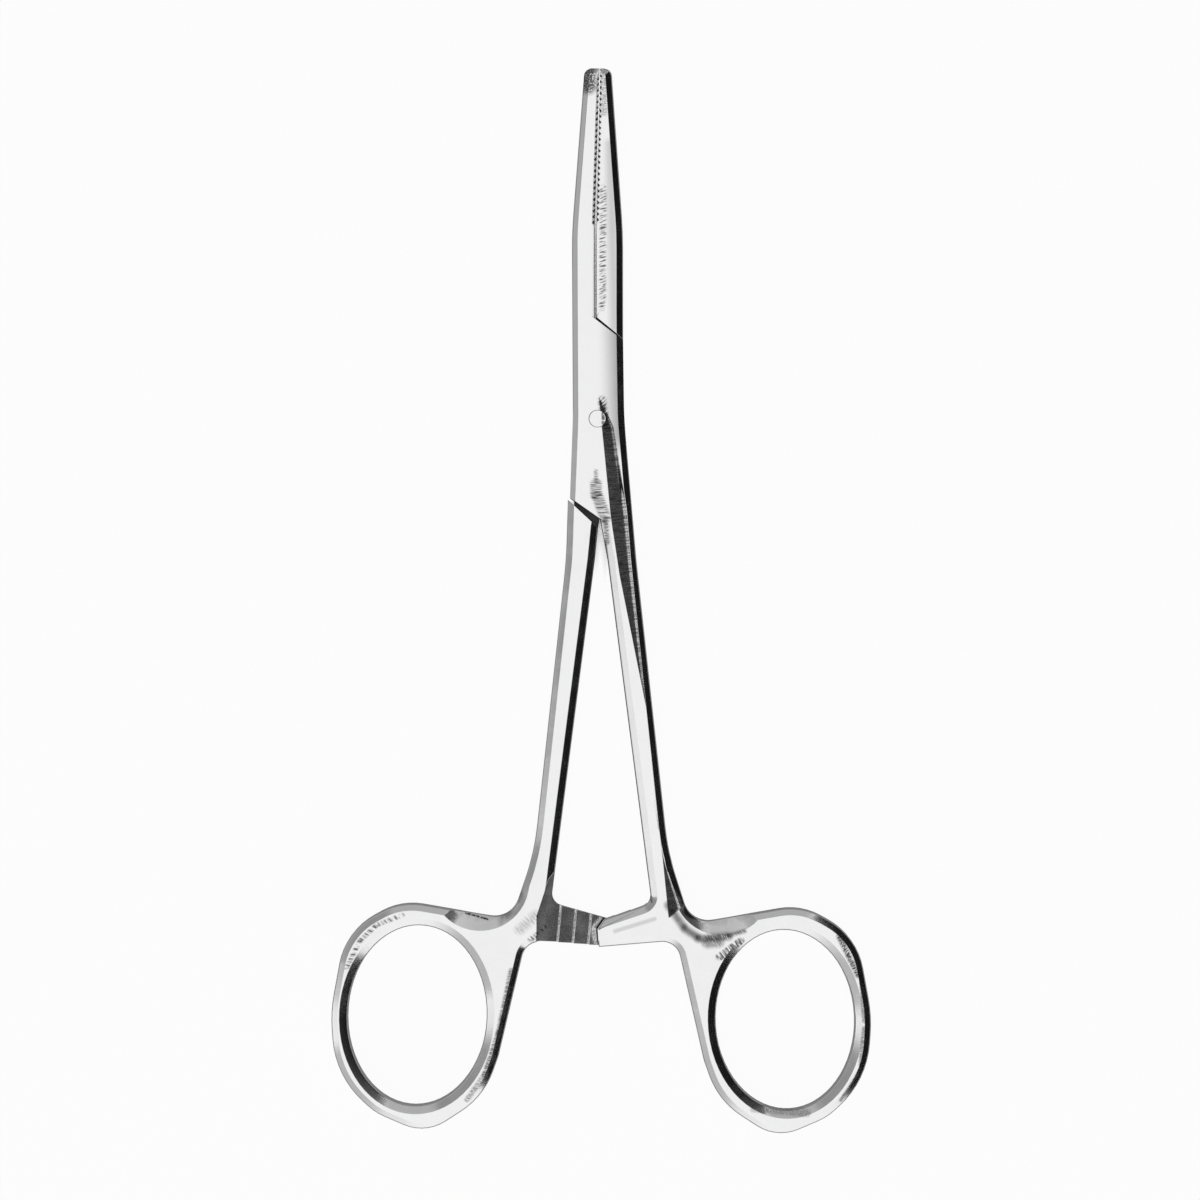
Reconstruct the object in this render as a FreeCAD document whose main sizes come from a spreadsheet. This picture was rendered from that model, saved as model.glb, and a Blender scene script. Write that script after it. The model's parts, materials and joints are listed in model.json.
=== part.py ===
import FreeCAD, Part
import math
import os

from Sketcher import Constraint

# Straight box-lock forceps with ring handles. Millimetres.
# X runs across the instrument, Y from the rivet towards the jaw tips, Z up.
# The origin is on the rivet's axis, in the plane of the lower cheek's outer face.

SIZES = {
    # rivet and box lock
    "box_thickness": (4.7, "over both cheeks"),
    "rivet_diameter": (2.2, "rivet through the cheeks"),
    "rivet_clearance": (0.05, "radial running clearance in the neck"),
    "neck_thickness": (1.9, "neck that passes through the box"),
    "neck_clearance": (0.08, "between the neck and each cheek"),
    "neck_half_width": (2.3, "half the width of the neck"),
    "neck_angle": (9.0, "degrees that the neck leans from Y at rest"),
    "side_clearance": (0.08, "between the neck and the side walls"),
    "slot_overrun": (1.0, "slot past the front shoulder"),
    "opening_angle": (35.0, "degrees from closed jaws to the stop faces"),
    "window_recess": (0.15, "neck below the outer sides of the box"),
    "box_half_width": (3.36, "half the width of the box at the jaws"),
    "box_waist": (3.22, "left side of the box beside the rivet"),
    "box_right": (3.5, "right side of the box beside the rivet"),
    "box_rear_width": (3.6, "from the axis to the rear left corner"),
    "front_inner_y": (13.15, "shoulder at the mating line"),
    "front_outer_y": (10.3, "shoulder at the outer side"),
    "rear_inner_y": (13.1, "rear end of the cheeks, inner corner"),
    "rear_outer_y": (10.35, "rear end of the cheeks, outer corner"),
    "front_gap": (0.14, "between cheek and jaw shoulder"),
    "rear_gap_outer": (0.5, "between cheek and shank, outer side"),
    "rear_gap_inner": (1.15, "between cheek and shank, at the crotch"),
    # jaws
    "jaw_length": (46.15, "rivet to tip"),
    "jaw_tip_half": (1.77, "half the width of the closed jaws at the tip"),
    "jaw_taper_y": (24.5, "where the jaws reach full width"),
    "jaw_blend": (60.0, "radius between taper and full width"),
    "tip_centre": (0.06, "middle of the tips, from the axis"),
    "mating_tip": (0.31, "mating line at the tip, from the axis"),
    "mating_root": (-0.26, "mating line at the box, from the axis"),
    "root_gap": (0.26, "between the jaws at the box"),
    "tip_gap": (0.08, "between the jaws at the tips"),
    "tip_thickness": (2.3, "jaws at the tip"),
    "tip_corner": (1.0, "rounding of the outer tip corners"),
    "tooth_pitch": (0.757, "serration"),
    "tooth_depth": (0.32, "serration"),
    "tooth_land": (0.12, "flat between two grooves"),
    "serrated_length": (21.0, "from the tip"),
    # shanks
    "handle_axis": (0.49, "centre line between the rings"),
    "shank_front_y": (18.5, "where the shank's front width is measured"),
    "shank_inner_front": (0.84, "inner side of the shank there"),
    "shank_outer_front": (4.62, "outer side of the shank there"),
    "shank_inner_rear": (6.62, "inner side of the shank at the arm"),
    "shank_outer_rear": (8.81, "outer side of the shank where it flares"),
    "flare_y": (56.9, "where the outer side flares"),
    "flare_blend": (34.0, "radius of the flare"),
    "shank_thickness": (3.0, "shank at the ring, arms and rings"),
    "profile_blend": (200.0, "radius between the slopes of the flat sides"),
    # rings
    "ring_x": (24.2, "ring centre from the handle axis"),
    "ring_y": (78.65, "ring centre behind the rivet"),
    "ring_stagger": (0.3, "one ring lies this much behind and the other ahead"),
    "hole_half_width": (9.15, "finger hole"),
    "hole_half_length": (11.85, "finger hole"),
    "hole_lean": (2.5, "degrees that the hole leans outwards"),
    "band_side": (2.6, "ring band at its sides"),
    "band_end": (3.0, "ring band at its ends"),
    "web_x": (11.85, "corner of shank and web, from the handle axis"),
    "web_y": (66.1, "corner of shank and web"),
    "web_fillet": (3.2, "rounding of that corner"),
    # ratchet
    "arm_front_y": (63.6, "front edge of the arm at the shank"),
    "arm_end_front_y": (65.7, "front edge of the arm at its end"),
    "arm_rear_y": (68.5, "rear edge of the arm at the shank"),
    "arm_end_rear_y": (69.35, "rear edge of the arm at its end"),
    "arm_tip_cut": (0.9, "corner cut off the end of the upper arm"),
    "arm_tongue": (1.3, "end of the lower arm past the rivet's axis"),
    "arm_root_x": (9.9, "rear corner of arm and ring, from the handle axis"),
    "arm_fillet": (1.6, "front corner of arm and shank"),
    "arm_rear_fillet": (2.4, "rear corner of arm and ring"),
    "arm_step_x": (8.45, "where the toothed face begins, from the handle axis"),
    "ratchet_pitch": (2.03, "ratchet teeth"),
    "ratchet_depth": (0.55, "ratchet teeth"),
    "ratchet_gap": (0.12, "between the two toothed faces"),
    "ratchet_slant": (5.5, "degrees that the teeth lean from Y"),
    "ratchet_travel": (3.0, "closing travel of the arms to the first click"),
    "ratchet_floor": (0.5, "lowest of the toothed face under the middle plane"),
    "last_tooth_x": (-0.93, "last steep face of the lower arm"),
    # edges, each width as seen from above and each height down the side
    "jaw_bevel_width": (0.85, "outer side of the right jaw"),
    "jaw_bevel_height": (0.57, "outer side of the right jaw"),
    "box_bevel_width": (0.7, "outer side of the left jaw and the box"),
    "box_bevel_height": (0.47, "outer side of the left jaw and the box"),
    "outer_bevel_width": (0.85, "outer side of shank, web and ring"),
    "outer_bevel_height": (0.45, "outer side of shank, web and ring"),
    "inner_bevel_width": (0.95, "inner side of the shank"),
    "inner_bevel_height": (0.48, "inner side of the shank"),
    "hole_bevel_width": (1.05, "finger hole"),
    "hole_bevel_height": (0.55, "finger hole"),
    "mating_bevel_width": (0.4, "mating edges of the jaws"),
    "mating_bevel_height": (0.36, "mating edges of the jaws"),
    # ground facets
    "web_hollow_x": (15.9, "centre of the round hollow on the web, from the handle axis"),
    "web_hollow_y": (61.0, "centre of the round hollow on the web"),
    "web_hollow_radius": (6.5, "round hollow at the flat side"),
    "web_hollow_tilt": (22.0, "degrees that it slopes"),
    "web_hollow_depth": (1.1, "of its cutter"),
    "hollow_tilt": (20.0, "degrees that the long facet of the right shank slopes"),
    "hollow_front_x": (0.45, "where the long facet meets the top beside the rivet"),
    "hollow_lean": (0.1, "how far the long facet runs outwards for each length back"),
    "hollow_start_y": (3.0, "front point of the long facet"),
    "hollow_knee_x": (1.9, "where its outer edge turns beside the rivet"),
    "hollow_knee_y": (1.0, "where its outer edge turns beside the rivet"),
    "hollow_turn_y": (12.0, "where it reaches the outer side"),
    "hollow_end_y": (64.2, "where it ends at the web"),
    "hollow_scoop": (1.8, "how far its slanted end goes back, inwards and to the rear"),
    "hollow_rim": (0.1, "rim left between the long facet and the outer bevel"),
}

RATCHET_TEETH = 3

# how far the upward part of a normal may be from 0 for a wall and from 1 for a flat side
STEEPNESS = 0.1


class Size:
    """A number together with the expression of sheet cells that gives it."""

    def __init__(self, number, text):
        self.number = number
        self.text = text

    def combine(self, other, sign, swap=False):
        other = other if isinstance(other, Size) else Size(float(other), repr(float(other)))
        a, b = (other, self) if swap else (self, other)
        results = {
            "+": lambda: a.number + b.number,
            "-": lambda: a.number - b.number,
            "*": lambda: a.number * b.number,
            "/": lambda: a.number / b.number,
        }
        return Size(results[sign](), f"({a.text} {sign} {b.text})")

    def __add__(self, other):
        return self.combine(other, "+")

    def __radd__(self, other):
        return self.combine(other, "+", swap=True)

    def __sub__(self, other):
        return self.combine(other, "-")

    def __rsub__(self, other):
        return self.combine(other, "-", swap=True)

    def __mul__(self, other):
        return self.combine(other, "*")

    def __rmul__(self, other):
        return self.combine(other, "*", swap=True)

    def __truediv__(self, other):
        return self.combine(other, "/")

    def __neg__(self):
        return self.combine(-1.0, "*")


ZERO = Size(0.0, "0")


def sine(angle):
    return Size(math.sin(math.radians(angle.number)), f"sin({angle.text})")


def cosine(angle):
    return Size(math.cos(math.radians(angle.number)), f"cos({angle.text})")


def arc_tangent(slope):
    """The angle in degrees whose tangent is the slope."""
    return Size(math.degrees(math.atan(slope.number)), f"(atan({slope.text}) / 1 deg)")


def make_sheet(document):
    """Writes every driving dimension to the sheet and returns them as Size values by name."""
    sheet = document.addObject("Spreadsheet::Sheet", "Sizes")
    values = {}
    for row, (name, (number, note)) in enumerate(SIZES.items(), start=1):
        sheet.set(f"A{row}", str(number))
        sheet.setAlias(f"A{row}", name)
        sheet.set(f"B{row}", note)
        values[name] = Size(number, f"Sizes.{name}")
    document.recompute()
    return values


class Drawing:
    """A sketch in a body, with its place, corners and radii bound to the sheet."""

    def __init__(self, body, name, plane="XY_Plane", at=(ZERO, ZERO), lift=ZERO, yaw=ZERO, pitch=ZERO):
        self.sketch = body.newObject("Sketcher::SketchObject", name)
        planes = [p for p in body.Origin.OriginFeatures if p.Role == plane]
        self.sketch.AttachmentSupport = [(planes[0], "")]
        self.sketch.MapMode = "FlatFace"
        base = (*at, lift)
        self.sketch.AttachmentOffset = FreeCAD.Placement(
            FreeCAD.Vector(*[value.number for value in base]),
            FreeCAD.Rotation(yaw.number, pitch.number, 0.0),
        )
        vector = "; ".join(value.text for value in base)
        self.sketch.setExpression(
            "AttachmentOffset",
            f"create(<<placement>>; create(<<vector>>; {vector}); "
            f"create(<<rotation>>; {yaw.text}; {pitch.text}; 0))",
        )

    def bind(self, constraint, value):
        """Adds a constraint and ties its value to the sheet."""
        index = self.sketch.addConstraint(constraint)
        self.sketch.setExpression(f"Constraints[{index}]", value.text)

    def place(self, geometry, position, x, y):
        """Ties a point of the sketch to a place."""
        self.bind(Constraint("DistanceX", -1, 1, geometry, position, x.number), x)
        self.bind(Constraint("DistanceY", -1, 1, geometry, position, y.number), y)

    def outline(self, corners):
        """A closed outline of straight lines. A corner is (x, y) or, rounded, (x, y, radius)."""
        add = self.sketch.addGeometry
        points = [FreeCAD.Vector(c[0].number, c[1].number, 0) for c in corners]
        count = len(corners)
        ends = []
        for i, corner in enumerate(corners):
            here = points[i]
            back = (points[i - 1] - here).normalize()
            ahead = (points[(i + 1) % count] - here).normalize()
            if len(corner) == 2:
                ends.append((here, here, None))
                continue
            half = back.getAngle(ahead) / 2
            radius = corner[2].number
            reach = radius / math.tan(half)
            middle = here + (back + ahead).normalize() * (radius / math.sin(half))
            ends.append((here + back * reach, here + ahead * reach, middle))
        lines = [
            add(Part.LineSegment(ends[i][1], ends[(i + 1) % count][0]), False) for i in range(count)
        ]
        for i, corner in enumerate(corners):
            before, after = lines[i - 1], lines[i]
            first, last, middle = ends[i]
            if middle is None:
                self.sketch.addConstraint(Constraint("Coincident", before, 2, after, 1))
                self.place(after, 1, corner[0], corner[1])
                continue
            turn = (first - middle).cross(last - middle).z
            if turn < 0:
                first, last = last, first
            start = math.atan2(first.y - middle.y, first.x - middle.x)
            stop = math.atan2(last.y - middle.y, last.x - middle.x)
            circle = Part.Circle(middle, FreeCAD.Vector(0, 0, 1), corner[2].number)
            arc = add(Part.ArcOfCircle(circle, start, stop), False)
            enter, leave = (1, 2) if turn > 0 else (2, 1)
            self.sketch.addConstraint(Constraint("Tangent", before, 2, arc, enter))
            self.sketch.addConstraint(Constraint("Tangent", arc, leave, after, 1))
            self.bind(Constraint("Radius", arc, corner[2].number), corner[2])
            vertex = add(Part.Point(points[i]), True)
            self.place(vertex, 1, corner[0], corner[1])
            self.sketch.addConstraint(Constraint("PointOnObject", vertex, 1, before))
            self.sketch.addConstraint(Constraint("PointOnObject", vertex, 1, after))

    def circle(self, radius):
        """A circle about the origin."""
        index = self.sketch.addGeometry(
            Part.Circle(FreeCAD.Vector(), FreeCAD.Vector(0, 0, 1), radius.number), False
        )
        self.sketch.addConstraint(Constraint("Coincident", index, 3, -1, 1))
        self.bind(Constraint("Radius", index, radius.number), radius)

    def ellipse(self, x, y, half_width, half_length, lean):
        """An ellipse that is longest along Y, its far end leaning to -X by some degrees."""
        end_x = x - half_length * sine(lean)
        end_y = y + half_length * cosine(lean)
        centre = FreeCAD.Vector(x.number, y.number, 0)
        along = FreeCAD.Vector(end_x.number, end_y.number, 0) - centre
        across = FreeCAD.Vector(-along.y, along.x, 0).normalize() * half_width.number
        shape = Part.Ellipse(centre + along, centre + across, centre)
        index = self.sketch.addGeometry(shape, False)
        self.sketch.exposeInternalGeometry(index)
        major, minor = index + 1, index + 2
        line = self.sketch.Geometry[major]
        far = 1 if line.StartPoint.y > line.EndPoint.y else 2
        self.place(index, 3, x, y)
        self.place(major, far, end_x, end_y)
        self.bind(Constraint("Distance", minor, 2 * half_width.number), 2 * half_width)


def extrude(body, kind, name, drawing, length, symmetric=False, backwards=False, taper=ZERO):
    """Adds a Pad or a Pocket and makes it the body's tip."""
    feature = body.newObject(f"PartDesign::{kind}", name)
    feature.Profile = drawing.sketch
    feature.SideType = "Symmetric" if symmetric else "One side"
    feature.Reversed = backwards
    feature.setExpression("Length", length.text)
    if taper is not ZERO:
        feature.setExpression("TaperAngle", taper.text)
    body.Document.recompute()
    return feature


def rim_edge(shape, x, y, z):
    """The edge between an upright wall and a flat side that lies nearest to a place.

    Returns its name, and whether the wall is the first of its two faces.
    """
    spot = Part.Vertex(x, y, z)
    numbered = list(enumerate(shape.Edges, start=1))
    numbered.sort(key=lambda pair: pair[1].distToShape(spot)[0])
    for number, edge in numbered:
        middle = edge.valueAt((edge.FirstParameter + edge.LastParameter) / 2)
        rises = []
        for face in shape.ancestorsOfType(edge, Part.Face):
            rises.append(abs(face.normalAt(*face.Surface.parameter(middle)).z))
        if len(rises) == 2 and min(rises) < STEEPNESS and max(rises) > 1 - STEEPNESS:
            return f"Edge{number}", rises[0] < rises[1]
    raise RuntimeError("no edge there to bevel")


class Half:
    """What both halves share. Side is +1 where the shank is on the right, -1 on the left."""

    # corners of the ring's outer outline, as shares of its half width and half length,
    # from the front round the outer side, with the rounding as a share of the half width
    RING = [
        (0.182, 1.014, 0.72),
        (0.805, 0.743, 0.77),
        (0.969, 0.032, 1.6),
        (0.915, -0.538, 1.05),
        (0.469, -0.861, 0.68),
        (-0.096, -1.052, 0.50),
        (-0.751, -0.717, 0.90),
        (-0.913, -0.356, 0.40),
    ]

    def __init__(self, document, sizes, name, side):
        self.document = document
        self.sizes = sizes
        self.side = side
        self.body = document.addObject("PartDesign::Body", name)
        self.body.Label = name
        self.middle = sizes["box_thickness"] / 2

    def across(self, distance):
        """X of a place at some distance from the handle axis, on this half's side."""
        return self.sizes["handle_axis"] + self.side * distance

    def behind(self, distance):
        """Y of a place on the ring or the web, which is staggered from half to half."""
        return -(distance + self.side * self.sizes["ring_stagger"])

    def mating(self, where):
        """X of this half's mating face, at the root or at the tip."""
        return self.sizes[f"mating_{where}"] - self.side * self.sizes[f"{where}_gap"] / 2

    def neck_side(self, y, sign):
        """X of the neck's left (-1) or right (+1) side at rest, at some Y."""
        s = self.sizes
        return (sign * s["neck_half_width"] + y * sine(s["neck_angle"])) / cosine(s["neck_angle"])

    def jaw_corners(self):
        """The jaw from the bend of its mating face round the tip to the full width."""
        s = self.sizes
        bend = s["jaw_length"] - s["serrated_length"]
        outer = s["tip_centre"] - self.side * s["jaw_tip_half"]
        return [
            (self.mating("root"), bend),
            (self.mating("tip"), s["jaw_length"]),
            (outer, s["jaw_length"], s["tip_corner"]),
            (-self.side * s["box_half_width"], s["jaw_taper_y"], s["jaw_blend"]),
        ]

    def handle_corners(self):
        """From the shank's inner side, round the arm, the ring and the web, to its outer side."""
        s = self.sizes
        width = s["hole_half_width"] + s["band_side"]
        length = s["hole_half_length"] + s["band_end"]
        corners = [
            (self.across(s["shank_inner_front"]), -s["shank_front_y"]),
            (self.across(s["shank_inner_rear"]), -s["arm_front_y"], s["arm_fillet"]),
        ]
        corners += self.arm_end()
        corners.append((self.across(s["arm_root_x"]), -s["arm_rear_y"], s["arm_rear_fillet"]))
        for x, y, rounding in reversed(self.RING):
            place = (self.across(s["ring_x"] + width * x), self.behind(s["ring_y"] - length * y))
            corners.append(place + (width * rounding,))
        corners.append((self.across(s["web_x"]), self.behind(s["web_y"]), s["web_fillet"]))
        corners.append((self.across(s["shank_outer_rear"]), -s["flare_y"], s["flare_blend"]))
        corners.append(
            (self.across(s["shank_outer_front"]), -s["shank_front_y"], s["jaw_blend"])
        )
        return corners

    def blank(self):
        """The whole outline at full thickness."""
        drawing = Drawing(self.body, "plan", lift=self.middle)
        drawing.outline(self.plan_corners())
        extrude(self.body, "Pad", "blank", drawing, self.sizes["box_thickness"], symmetric=True)

    def thin_down(self):
        """Cuts both flat sides down to the thickness of jaw, box, shank and ring."""
        s = self.sizes
        front = 1.3 * s["jaw_length"]
        rear = s["ring_y"] + 2 * s["hole_half_length"]
        box = s["box_thickness"] / 2
        slope = (box - s["tip_thickness"] / 2) / (s["jaw_length"] - s["front_inner_y"])
        tip = box - slope * (front - s["front_inner_y"])
        shank = s["shank_thickness"] / 2
        blend = s["profile_blend"]
        for name, sign in (("upper", 1), ("lower", -1)):
            drawing = Drawing(self.body, f"{name}_profile", "YZ_Plane")
            far = self.middle + sign * 1.2 * box
            drawing.outline(
                [
                    (front, far),
                    (front, self.middle + sign * tip),
                    (s["front_inner_y"], self.middle + sign * box, blend),
                    (-s["rear_inner_y"], self.middle + sign * box, blend),
                    (-s["flare_y"], self.middle + sign * shank, blend),
                    (-rear, self.middle + sign * shank),
                    (-rear, far),
                ]
            )
            extrude(self.body, "Pocket", f"{name}_flat", drawing, 4 * s["ring_x"], symmetric=True)

    def finger_hole(self):
        s = self.sizes
        drawing = Drawing(self.body, "finger_hole_outline", lift=self.middle)
        drawing.ellipse(
            self.across(s["ring_x"]),
            self.behind(s["ring_y"]),
            s["hole_half_width"],
            s["hole_half_length"],
            self.side * s["hole_lean"],
        )
        extrude(self.body, "Pocket", "finger_hole", drawing, 2 * s["box_thickness"], symmetric=True)

    def web_hollow(self):
        """Cuts a shallow cone into both flat sides where shank and ring meet, open to the front."""
        s = self.sizes
        centre = (self.across(s["web_hollow_x"]), self.behind(s["web_hollow_y"]))
        for name, sign in (("upper", 1), ("lower", -1)):
            lift = self.middle + sign * s["shank_thickness"] / 2
            drawing = Drawing(self.body, f"{name}_web_circle", at=centre, lift=lift)
            drawing.circle(s["web_hollow_radius"])
            extrude(
                self.body,
                "Pocket",
                f"{name}_web_hollow",
                drawing,
                s["web_hollow_depth"],
                backwards=sign < 0,
                taper=s["web_hollow_tilt"] - 90.0,
            )

    def bevel(self, name, places, width, height):
        """Bevels the chains of edges that pass through some places, on both flat sides."""
        for flat, sign in (("upper", 1), ("lower", -1)):
            level = self.middle + sign * self.sizes["box_thickness"] / 2
            base = self.body.Tip
            found = [rim_edge(base.Shape, x.number, y.number, level.number) for x, y in places]
            feature = self.body.newObject("PartDesign::Chamfer", f"{flat}_{name}")
            feature.Base = (base, [edge for edge, wall_first in found])
            feature.ChamferType = "Two distances"
            feature.FlipDirection = found[0][1]
            feature.setExpression("Size", width.text)
            feature.setExpression("Size2", height.text)
            self.document.recompute()

    def bevels(self):
        """Bevels the long edges, each chain named by a place that it passes."""
        s = self.sizes
        bend = s["jaw_length"] - s["serrated_length"]
        root, tip = self.mating("root"), self.mating("tip")
        jaw = -self.side * (s["box_half_width"] + s["jaw_tip_half"]) / 2
        shank_y = -(s["shank_front_y"] + s["flare_y"]) / 2
        inner = self.across((s["shank_inner_front"] + s["shank_inner_rear"]) / 2)
        outer = self.across((s["shank_outer_front"] + s["shank_outer_rear"]) / 2)
        mating = [
            (root, (s["front_inner_y"] + bend) / 2),
            ((root + tip) / 2, (bend + s["jaw_length"]) / 2),
        ]
        chains = (
            ("mating_bevel", mating, "mating_bevel"),
            ("jaw_bevel", [(jaw, (s["jaw_taper_y"] + s["jaw_length"]) / 2)], self.jaw_bevel),
            ("inner_bevel", [(inner, shank_y)], "inner_bevel"),
            ("outer_bevel", [(outer, shank_y)], "outer_bevel"),
            (
                "hole_bevel",
                [(self.across(s["ring_x"] + s["hole_half_width"]), self.behind(s["ring_y"]))],
                "hole_bevel",
            ),
        )
        for name, places, size in chains:
            self.bevel(name, places, s[f"{size}_width"], s[f"{size}_height"])

    def teeth(self):
        """Grooves across the mating face, one drawn and the rest patterned along the face."""
        s = self.sizes
        lean = (self.mating("tip") - self.mating("root")) / s["serrated_length"]
        start = (self.mating("root"), s["jaw_length"] - s["serrated_length"])
        drawing = Drawing(
            self.body,
            "groove",
            at=start,
            lift=self.middle,
            yaw=-arc_tangent(lean),
        )
        half = (s["tooth_pitch"] - s["tooth_land"]) / 2
        over = s["tooth_land"] / 2
        first = s["tooth_pitch"] * (0.75 if self.side > 0 else 1.25)
        outside = half * (1 + over / s["tooth_depth"])
        drawing.outline(
            [
                (-self.side * s["tooth_depth"], first),
                (self.side * over, first - outside),
                (self.side * over, first + outside),
            ]
        )
        cut = extrude(self.body, "Pocket", "tooth_gap", drawing, s["box_thickness"], symmetric=True)
        pattern = self.body.newObject("PartDesign::LinearPattern", "teeth")
        pattern.Originals = [cut]
        pattern.Direction = (drawing.sketch, ["V_Axis"])
        pattern.Mode = "Spacing"
        pattern.setExpression("Offset", s["tooth_pitch"].text)
        pattern.Occurrences = int(s["serrated_length"].number / s["tooth_pitch"].number - 1.0)
        self.body.Tip = pattern
        self.document.recompute()

    def ratchet(self):
        """Cuts the toothed face of the arm: from above on the lower arm, from below on the upper."""
        s = self.sizes
        side = self.side
        tool = self.document.addObject("PartDesign::Body", f"{self.body.Label}_ratchet_cut")
        rear = -(s["arm_end_rear_y"] + s["ratchet_pitch"])
        step = s["arm_step_x"]
        plan = Drawing(tool, "arm_zone", lift=self.middle)
        plan.outline(
            [
                (self.across(step), rear),
                (self.across(step), -(s["arm_front_y"] + s["arm_fillet"])),
                (self.across(step - s["arm_fillet"]), -(s["arm_front_y"] - 2 * s["arm_fillet"])),
                (self.across(0.5 * step), -(s["arm_front_y"] - 4 * s["arm_fillet"])),
                (self.across(-0.3 * step), -(s["arm_front_y"] - 4 * s["arm_fillet"])),
                (self.across(-0.3 * step), rear),
            ]
        )
        extrude(tool, "Pad", "zone", plan, 2 * s["box_thickness"], symmetric=True)
        floor = self.middle - s["ratchet_floor"]
        slope = s["ratchet_depth"] / s["ratchet_pitch"]
        root = self.across(step)
        lead = s["ratchet_pitch"] / 2
        if side < 0:
            last = s["last_tooth_x"]
            steps = [last - k * s["ratchet_pitch"] for k in reversed(range(RATCHET_TEETH))]
            end = last + s["ratchet_pitch"]
            line = [(root - lead, floor + slope * (steps[0] - root + lead))]
            for here in steps:
                line += [(here, floor), (here, floor + s["ratchet_depth"])]
            line += [(end, floor), (self.across(-step), floor)]
            far = self.middle - 2 * s["box_thickness"]
        else:
            floor = floor + s["ratchet_gap"]
            first = s["last_tooth_x"] + s["ratchet_travel"]
            steps = [first + k * s["ratchet_pitch"] for k in range(RATCHET_TEETH)]
            start = self.across(-step)
            line = [(start, floor + slope * (first - start)), (first, floor)]
            for here, after in zip(steps, steps[1:] + [root + lead]):
                line += [(here, floor + slope * (after - here)), (after, floor)]
            far = self.middle + 2 * s["box_thickness"]
        line += [(line[-1][0], far), (line[0][0], far)]
        profile = Drawing(
            tool,
            "tooth_line",
            "XZ_Plane",
            lift=(s["arm_end_front_y"] + s["arm_rear_y"]) / 2,
            pitch=-s["ratchet_slant"],
        )
        profile.outline(line)
        extrude(tool, "Pocket", "kept_teeth", profile, s["ring_y"], symmetric=True)
        cut = self.body.newObject("PartDesign::Boolean", "ratchet")
        cut.Type = "Cut"
        cut.setObjects([tool])
        self.body.Tip = cut
        self.document.recompute()


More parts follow.
